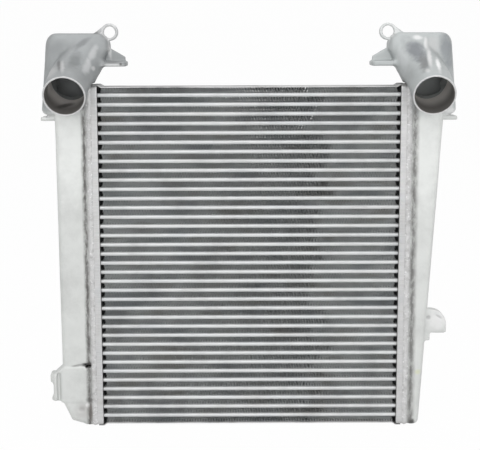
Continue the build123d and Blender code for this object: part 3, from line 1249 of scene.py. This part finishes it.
@dataclass
class WeldRun:
    """The weld all round between a header and its tank: one bead of overlapping crescents.

    Its random sizes are read from a noise field by three steps: along the bead, at one level,
    and from one side of the cooler to the other.
    """

    side: Side
    spread: float = 1.2 * MM
    crown: float = 1.7 * MM
    crown_power: float = 1.4
    bead_height: float = 1.9 * MM
    corner: float = 8.0 * MM
    sunk: float = 0.6 * MM
    sunk_share: float = 0.9
    width_change: float = 0.10
    width_steps: Triple = (45.0, 1.7, 5.0)
    crown_change: float = 0.22
    crown_steps: Triple = (60.0, 7.1, 3.0)
    ripple_pitch: float = 4.4 * MM
    ripple_height: float = 0.42 * MM
    ripple_lag: float = 3.0 * MM
    ripple_drift: float = 0.5
    ripple_steps: Triple = (30.0, 3.3, 9.0)
    ripple_gain: float = 2.6
    ripple_level: float = 0.5
    step: float = 0.9 * MM
    across: int = 13
    finish: Finish = WeldFinish("weld_bead_sheen", grey(216), grey(134, 1), metallic=0.4, roughness=0.6,
                                bump=0.3)

    def build(self) -> None:
        """Builds the bead as a closed ring that stands for the CAD bead."""
        node = f"{self.side.word}_weld_bead"
        low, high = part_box(node)
        ring = self._ring(low, high)
        mesh = bpy.data.meshes.new(node + "_run")
        mesh.from_pydata(self._verts(ring, low.x, high.x), [], self._faces(len(ring)))
        work = bmesh.new()
        work.from_mesh(mesh)
        bmesh.ops.recalc_face_normals(work, faces=work.faces)
        work.to_mesh(mesh)
        work.free()
        smooth_shaded(mesh)
        new_piece(node + "_run", mesh, self.finish.material(), [node])

    def _ring(self, low: Vector, high: Vector) -> list[tuple[Vector, Vector]]:
        """Points round the joint and their outward directions.

        Args:
            low: Lowest corner of the CAD bead.
            high: Highest corner of the CAD bead.

        Returns:
            Places on the joint's surface, each with the way out of it.
        """
        middle = (low + high) / 2
        half_y = (high.y - low.y) / 2 - self.bead_height
        half_z = (high.z - low.z) / 2 - self.bead_height
        flat_y, flat_z = half_y - self.corner, half_z - self.corner
        sides = (((1, 0), (0, 1)), ((0, 1), (-1, 0)), ((-1, 0), (0, -1)), ((0, -1), (1, 0)))
        ring: list[tuple[Vector, Vector]] = []
        for (oy, oz), (ty, tz) in sides:
            flat = flat_z if oy else flat_y
            centre = Vector((0, middle.y + oy * flat_y, middle.z + oz * flat_z))
            count = round(2 * flat / self.step)
            for n in range(count):
                along = flat * (2 * n / count - 1)
                spot = centre + Vector((0, ty, tz)) * along + Vector((0, oy, oz)) * self.corner
                ring.append((spot, Vector((0, oy, oz))))
            pivot = centre + Vector((0, ty, tz)) * flat
            turns = round(self.corner * math.pi / 2 / self.step)
            for n in range(turns):
                angle = math.pi / 2 * n / turns
                out = Vector((0, oy, oz)) * math.cos(angle) + Vector((0, ty, tz)) * math.sin(angle)
                ring.append((pivot + out * self.corner, out))
        return ring

    def _verts(self, ring: list[tuple[Vector, Vector]], left: float, right: float) -> list[Triple]:
        """Corners of the bead: a row across its crown at each point of the ring, and two under it.

        Args:
            ring: Places on the joint's surface, each with the way out of it.
            left: Where the CAD bead starts along X.
            right: Where it ends.

        Returns:
            The corners, row by row.
        """
        middle = (left + right) / 2
        half = (right - left) / 2 + self.spread
        verts: list[Triple] = []
        run = 0.0
        before = ring[-1][0]
        for spot, out in ring:
            run += (spot - before).length
            before = spot
            wide = half * (1 + self.width_change * self._noise(run, self.width_steps))
            tall = self.crown * (1 + self.crown_change * self._noise(run, self.crown_steps))
            for k in range(self.across):
                u = 2 * k / (self.across - 1) - 1
                lift = tall * (1 - u * u) ** self.crown_power + self._ripple(run, u) * (1 - u * u)
                place = spot + out * lift
                verts.append((middle + u * wide, place.y, place.z))
            under = spot - out * self.sunk
            verts.append((middle + wide * self.sunk_share, under.y, under.z))
            verts.append((middle - wide * self.sunk_share, under.y, under.z))
        return verts

    def _faces(self, count: int) -> list[Corners]:
        """Faces between the rows of corners, closed to a ring.

        Args:
            count: Number of rows.

        Returns:
            The faces, by the numbers of their corners.
        """
        width = self.across + 2
        faces: list[Corners] = []
        for n in range(count):
            a, b = n * width, (n + 1) % count * width
            for k in range(width):
                m = (k + 1) % width
                faces.append((a + k, a + m, b + m, b + k))
        return faces

    def _noise(self, run: float, steps: Triple) -> float:
        """Returns a smooth random value at a distance along the bead, about 0 in the middle."""
        along, level, aside = steps
        return noise.noise(Vector((run * along, level, self.side.value * aside)))

    def _ripple(self, run: float, u: float) -> float:
        """Height of the crescents.

        Args:
            run: Distance along the bead.
            u: Place across it, -1 to 1.

        Returns:
            The height.
        """
        drift = self._noise(run, self.ripple_steps) * self.ripple_drift
        phase = (run + self.ripple_lag * u * u) / self.ripple_pitch + drift
        share = phase - math.floor(phase)
        return self.ripple_height * (math.sqrt(share) * (1 - share) * self.ripple_gain - self.ripple_level)


HEAD_EASE = Ease((272.0, -58.0, 650.0), (396.0, 42.0, 764.0))
SHELF_EASE = Ease((274.0, 8.0, 694.0), (300.0, 92.0, 724.0), 6.0, 40)
BLOCK_EASE = Ease((362.0, -4.0, 40.0), (394.0, 26.0, 128.0), 4.0, 10)

LEFT_DENTS = (
    Dent(-324.5, 716.7, 12.0, 17.0, -3.0, -12.0),
    Dent(-343.5, 706.3, 3.5, 15.0, 2.4, 27.0),
    Dent(-352.4, 707.9, 4.5, 15.0, -2.6, 27.0),
    Dent(-366.0, 696.0, 9.0, 12.0, 1.2),
    Dent(-314.0, 748.0, 24.0, 7.0, -1.6, 36.0),
    Dent(-292.0, 701.3, 4.0, 4.0, 0.9),
    Dent(-330.6, 35.2, 6.5, 5.5, -1.6),
    Dent(-314.1, 53.9, 10.0, 5.0, -0.9, -20.0),
    Dent(-320.0, 126.0, 10.0, 2.6, -5.0, 3.0),
    Dent(-337.0, 124.0, 10.0, 2.0, -1.2, 8.0),
    Dent(-352.0, 300.0, 12.0, 60.0, 0.35),
)
RIGHT_DENTS = (
    Dent(307.8, 738.0, 14.0, 14.0, -2.6),
    Dent(324.2, 714.2, 8.0, 15.0, -2.6, -15.0),
    Dent(333.7, 745.3, 5.0, 13.0, 1.6),
    Dent(349.0, 706.0, 5.0, 16.0, 2.4, -19.0),
    Dent(325.1, 696.7, 4.0, 4.0, 1.2),
    Dent(372.3, 741.4, 10.0, 14.0, -1.3),
    Dent(348.9, 217.5, 4.5, 4.5, -1.2),
    Dent(368.4, 219.4, 9.0, 2.2, -0.8, -32.0),
)
# Patches of tone on the left casting; the ones marked below are painted shade and painted highlights.
LEFT_STAINS_AND_LIGHT = (
    # Painted shade in the hollow in the middle of the head.
    Stain((-324.5, -19.6, 717.5), (16.0, 40.0, 26.0), grey(112, -2, 1), 0.65, -12.0),
    Stain((-362.0, 14.0, 738.0), (24.0, 30.0, 20.0), grey(140, -2, 1), 0.4, 20.0),
    # Painted light from above on the upper tank body.
    Stain((-340.0, 7.8, 560.0), (42.0, 20.0, 120.0), grey(246, 0, 2), 0.4),
    # Painted shade in the long hollow under the top of the head.
    Stain((-314.0, 14.0, 748.0), (25.0, 30.0, 7.5), grey(120, -2), 0.65, 36.0),
    # Painted highlight along the head's rounded inner edge, in two pieces.
    Stain((-294.0, 10.5, 730.0), (20.0, 34.0, 8.0), grey(206, -1), 0.65, 68.0),
    Stain((-302.5, -18.7, 704.7), (20.0, 34.0, 8.5), grey(206, -1), 0.7, 76.0),
    # Painted shade in the groove beside the crease left of the port.
    Stain((-352.4, -34.4, 707.9), (5.0, 50.0, 16.0), grey(104), 0.7, 27.0),
    # Painted highlight on the ridge of that crease.
    Stain((-344.5, -44.4, 706.3), (5.5, 50.0, 18.0), grey(206), 0.6, 20.0),
    # Painted highlight on the swell of the outer shoulder.
    Stain((-363.5, -48.5, 695.5), (15.0, 50.0, 15.0), grey(196), 0.55),
    # Painted highlight on a small swell by the shelf.
    Stain((-292.0, 2.7, 701.3), (4.5, 15.0, 5.5), grey(214), 0.7),
    Stain((-291.3, 40.8, 766.6), (11.0, 14.0, 4.0), grey(96), 0.75, 8.0),
    # Painted highlight on the rounded corner of the head next to the ring.
    Stain((-265.6, 43.8, 732.5), (4.5, 22.0, 18.0), grey(220), 0.6, 8.0),
    Stain((-309.6, 10.8, 638.9), (8.0, 10.0, 3.0), grey(245), 0.7, 40.0),
    # Painted shadow below the port, where it meets the casting.
    Stain((-344.0, -22.0, 633.0), (24.0, 40.0, 4.5), grey(60, 2), 0.7, 8.0),
    Stain((-263.6, 47.8, 768.5), (27.0, 22.0, 24.0), grey(226), 0.85),
    Stain((-258.0, 20.0, 706.5), (30.0, 12.0, 4.0), grey(236), 0.6),
    Stain((-387.8, 43.8, 610.6), (13.0, 34.0, 11.0), grey(232), 0.85),
    Stain((-242.7, 19.8, 708.2), (4.0, 12.0, 3.5), grey(70), 0.75),
    # Painted shadow line along the foot of the shelf's web.
    Stain((-262.0, 20.0, 711.5), (22.0, 14.0, 2.6), grey(110), 0.6),
    # Painted shade in a dimple.
    Stain((-330.6, 7.8, 35.2), (7.5, 10.0, 6.5), grey(160, 0, 1), 0.75),
    # Painted shade in a dent.
    Stain((-314.1, 6.8, 53.9), (11.0, 14.0, 6.5), grey(120), 0.75, -12.0),
    Stain((-326.0, 9.0, 30.0), (24.0, 16.0, 26.0), grey(182, 2), 0.55),
    Stain((-313.2, 10.8, 28.1), (4.5, 16.0, 24.0), grey(138, 6), 0.75),
    Stain((-318.4, 7.8, 44.4), (5.0, 10.0, 6.0), grey(250), 0.75),
    # Painted shadow in the slot.
    Stain((-318.0, 9.0, 125.5), (13.0, 14.0, 4.6), grey(24), 0.95, 4.0),
    # Painted shade in the shallow groove beside the slot.
    Stain((-337.0, 7.8, 124.0), (13.0, 10.0, 2.6), grey(120), 0.65, 8.0),
)
# Patches of tone on the right casting; the ones marked below are painted shade and painted highlights.
RIGHT_STAINS_AND_LIGHT = (
    # Painted light from above on the upper tank body.
    Stain((338.0, 7.8, 560.0), (40.0, 20.0, 150.0), grey(246, 0, 2), 0.3),
    # Painted highlight along the head's rounded inner edge.
    Stain((291.2, 8.1, 715.6), (12.0, 36.0, 34.0), grey(204, -2, 1), 0.6, 10.0),
    # Painted shade over the diagonal hollow of the head.
    Stain((312.0, 0.0, 733.0), (34.0, 60.0, 20.0), grey(116, -4, -1), 0.8, -52.0),
    # Painted shade in the hollow above the port.
    Stain((325.0, -23.8, 709.0), (12.0, 60.0, 26.0), grey(116, -1), 0.75, -8.0),
    # Painted highlight band up the head.
    Stain((336.5, -20.0, 722.0), (5.5, 60.0, 34.0), grey(222), 0.75, -9.0),
    # Painted highlight on the top of the head.
    Stain((319.0, 22.5, 756.6), (13.0, 16.0, 6.0), grey(228), 0.75),
    # Painted highlight on a swell.
    Stain((333.7, 18.0, 745.3), (5.0, 20.0, 16.0), grey(222), 0.8),
    # Painted highlight on the swell beside the port.
    Stain((349.0, -40.0, 707.0), (6.0, 46.0, 25.0), grey(246), 0.85, -10.0),
    # Painted highlight on a small swell below it.
    Stain((326.0, -62.1, 696.7), (5.5, 16.0, 7.0), grey(214), 0.6),
    # Painted light on the outer shoulder.
    Stain((349.5, 21.8, 743.3), (14.0, 22.0, 20.0), grey(196), 0.6),
    # Painted shade in a hollow of the outer shoulder.
    Stain((374.5, 21.8, 730.0), (16.0, 24.0, 52.0), grey(132, -4), 0.7, 6.0),
    Stain((385.3, 25.6, 616.2), (13.0, 34.0, 11.0), grey(232), 0.85),
    Stain((266.0, 47.8, 768.5), (27.0, 22.0, 24.0), grey(232, 0, 1), 0.85),
    # Real yellowish staining.
    Stain((328.8, 7.8, 109.8), (7.0, 10.0, 6.0), (0.62, 0.64, 0.42), 0.55),
    Stain((364.7, 11.8, 211.4), (24.0, 26.0, 24.0), grey(230), 0.7),
    # Painted shade in two dents.
    Stain((348.9, 11.8, 217.5), (5.5, 12.0, 5.5), grey(172), 0.8),
    Stain((368.4, 11.8, 219.4), (9.0, 10.0, 2.6), grey(180), 0.7, -32.0),
    Stain((318.9, 8.1, 7.8), (8.0, 30.0, 8.0), grey(30), 0.9),
    Stain((307.9, 10.8, 241.9), (3.0, 8.0, 3.0), grey(110), 0.7),
)


@dataclass(frozen=True)
class TankLook:
    """What differs between the two castings; its lengths are millimetres."""

    eases: tuple[Ease, ...]
    dents: tuple[Dent, ...]
    stains: tuple[Stain, ...]
    head: Colour
    seam_middle: float
    seam_half: float
    seam_amount: float


TANK_LOOKS = {
    Side.LEFT: TankLook((HEAD_EASE, SHELF_EASE, BLOCK_EASE), LEFT_DENTS, LEFT_STAINS_AND_LIGHT, head=grey(163, -2, 1),
                        seam_middle=314.6, seam_half=8.0, seam_amount=0.95),
    Side.RIGHT: TankLook((HEAD_EASE, SHELF_EASE), RIGHT_DENTS, RIGHT_STAINS_AND_LIGHT, head=grey(187, -2, 2),
                         seam_middle=315.4, seam_half=11.0, seam_amount=0.8),
}


@dataclass
class EndTank:
    """One cast end tank and the weld that joins it to its header."""

    side: Side
    mould: Mould = Mould()
    body: Colour = grey(215, 0, 2)
    dark: Colour = grey(126)
    metallic: float = 0.5
    roughness: float = 0.55

    def build(self) -> None:
        """Builds the casting's skin and the weld beside it."""
        WeldRun(self.side).build()
        node = f"{self.side.word}_tank"
        look = TANK_LOOKS[self.side]
        finish = CastFinish(f"{self.side.word}_cast_aluminium", self.body, self.dark, metallic=self.metallic,
                            roughness=self.roughness, side=self.side, head=look.head,
                            seam_middle=look.seam_middle, seam_half=look.seam_half,
                            seam_amount=look.seam_amount, stains=look.stains)
        skin = self.mould.skin(node + "_casting", node, look.eases, Shaping(look.dents))
        new_piece(node + "_casting", skin, finish.material(), [node])


@dataclass(frozen=True)
class Panel:
    """A square soft lamp: where it hangs, its width and its power in watts."""

    name: str
    spot: Triple
    width: float
    power: float


@dataclass
class Studio:
    """Pale floor, even light and the camera at the photograph's angle."""

    focal_pixels: float = 1200.0
    frame_width: float = 480.0
    sensor_width: float = 36.0
    pitch: float = math.radians(8.78)
    roll: float = math.radians(-0.19)
    distance: float = 2314 * MM
    target: Vector = field(default_factory=lambda: Vector((-17.9, 15.8, 400.4)) * MM)
    floor_width: float = 40.0
    floor_front: float = -12.0
    sweep_start: float = 7.0
    sweep_radius: float = 4.0
    sweep_steps: int = 16
    wall_height: float = 16.0
    floor_colour: Colour = grey(246)
    floor_roughness: float = 0.9
    whiteness: float = 0.975
    world_level: float = 0.5
    lit_middle: Triple = (0.0, 0.0, 0.39)
    panels: tuple[Panel, ...] = (
        Panel("key_panel", (-1.2, -3.0, 3.2), 3.0, 40.0),
        Panel("fill_panel", (2.2, -2.8, 1.0), 3.0, 22.0),
        Panel("front_panel", (0.0, -3.6, 0.6), 2.0, 20.0),
        Panel("top_panel", (0.0, 0.2, 3.4), 3.0, 24.0),
    )

    def build(self) -> None:
        """Makes the camera, the floor, the world and the lamps."""
        self._camera()
        self._floor()
        self._world()
        for panel in self.panels:
            self._hang(panel)

    def _camera(self) -> None:
        """Places the camera by its fitted pitch, roll and distance."""
        look = Vector((0, math.cos(self.pitch), -math.sin(self.pitch)))
        up = Vector((0, math.sin(self.pitch), math.cos(self.pitch)))
        right = Vector((1, 0, 0))
        c, s = math.cos(self.roll), math.sin(self.roll)
        across, upward = right * c + up * s, up * c - right * s
        data = bpy.data.cameras.new("camera")
        data.sensor_width = self.sensor_width
        data.lens = self.focal_pixels / self.frame_width * data.sensor_width
        camera = bpy.data.objects.new("camera", data)
        spot = self.target - look * self.distance
        turn = Matrix((across, upward, -look)).transposed().to_4x4()
        camera.matrix_world = Matrix.Translation(spot) @ turn
        bpy.context.scene.collection.objects.link(camera)
        bpy.context.scene.camera = camera

    def _floor(self) -> None:
        """Adds a floor that sweeps up to a wall behind the cooler."""
        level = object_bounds()[0].z
        line = [(self.floor_front, level), (self.sweep_start, level)]
        for n in range(1, self.sweep_steps + 1):
            angle = math.pi / 2 * n / self.sweep_steps
            line.append((self.sweep_start + self.sweep_radius * math.sin(angle),
                         level + self.sweep_radius * (1 - math.cos(angle))))
        line.append((line[-1][0], level + self.wall_height))
        half = self.floor_width / 2
        verts = [(x, y, z) for y, z in line for x in (-half, half)]
        faces = [(2 * n, 2 * n + 1, 2 * n + 3, 2 * n + 2) for n in range(len(line) - 1)]
        mesh = bpy.data.meshes.new("floor")
        mesh.from_pydata(verts, [], faces)
        smooth_shaded(mesh)
        mesh.materials.append(self._floor_material())
        floor = bpy.data.objects.new("floor", mesh)
        bpy.context.scene.collection.objects.link(floor)
        floor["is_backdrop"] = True

    def _floor_material(self) -> bpy.types.Material:
        """Makes a matt pale material that is white to the camera but for the cooler's shadow.

        Returns:
            The material.
        """
        material = bpy.data.materials.new("studio_floor")
        material.use_nodes = True
        material.node_tree.nodes.clear()
        board = NodeBoard(material.node_tree)
        matt = board.add("ShaderNodeBsdfPrincipled", {"Base Color": self.floor_colour,
                                                      "Roughness": self.floor_roughness})
        white = board.add("ShaderNodeEmission", {"Color": WHITE, "Strength": 1.0})
        share = board.maths("MULTIPLY", self._seen(board), self.whiteness)
        mix = board.add("ShaderNodeMixShader", {0: share, 1: matt.outputs[0], 2: white.outputs[0]})
        leave = board.add("ShaderNodeOutputMaterial")
        board.feed(leave.inputs["Surface"], mix.outputs[0])
        return material

    def _world(self) -> None:
        """Sets a world that is white to the camera and plain grey to everything else."""
        world = bpy.data.worlds.new("studio")
        bpy.context.scene.world = world
        world.use_nodes = True
        world.node_tree.nodes.clear()
        board = NodeBoard(world.node_tree)
        added = board.maths("MULTIPLY", self._seen(board), 1.0 - self.world_level)
        strength = board.maths("ADD", self.world_level, added)
        back = board.add("ShaderNodeBackground", {"Color": WHITE, "Strength": strength})
        leave = board.add("ShaderNodeOutputWorld")
        board.feed(leave.inputs["Surface"], back.outputs[0])

    def _seen(self, board: NodeBoard) -> Socket:
        """Adds the test for rays that show the background: the camera's, gloss and clear glass.

        Args:
            board: The node tree of the floor or the world.

        Returns:
            1 for those rays, and 0 for all others.
        """
        rays = board.add("ShaderNodeLightPath").outputs
        clear = board.maths("MAXIMUM", rays["Is Glossy Ray"], rays["Is Transmission Ray"])
        return board.maths("MAXIMUM", rays["Is Camera Ray"], clear)

    def _hang(self, panel: Panel) -> None:
        """Adds a lamp that faces the middle of the cooler.

        Args:
            panel: The lamp's place, width and power.
        """
        data = bpy.data.lights.new(panel.name, "AREA")
        data.size = panel.width
        data.energy = panel.power
        lamp = bpy.data.objects.new(panel.name, data)
        lamp.location = panel.spot
        aim = Vector(self.lit_middle) - Vector(panel.spot)
        lamp.rotation_mode = "QUATERNION"
        lamp.rotation_quaternion = aim.to_track_quat("-Z", "Y")
        bpy.context.scene.collection.objects.link(lamp)


def main() -> None:
    """Builds the cooler's looks on the frame, then the studio."""
    Core().build()
    FinBank().build()
    for side in Side:
        EndTank(side).build()
    Studio().build()
    bpy.context.scene.view_settings.view_transform = "Standard"


if __name__ == "__main__":
    main()
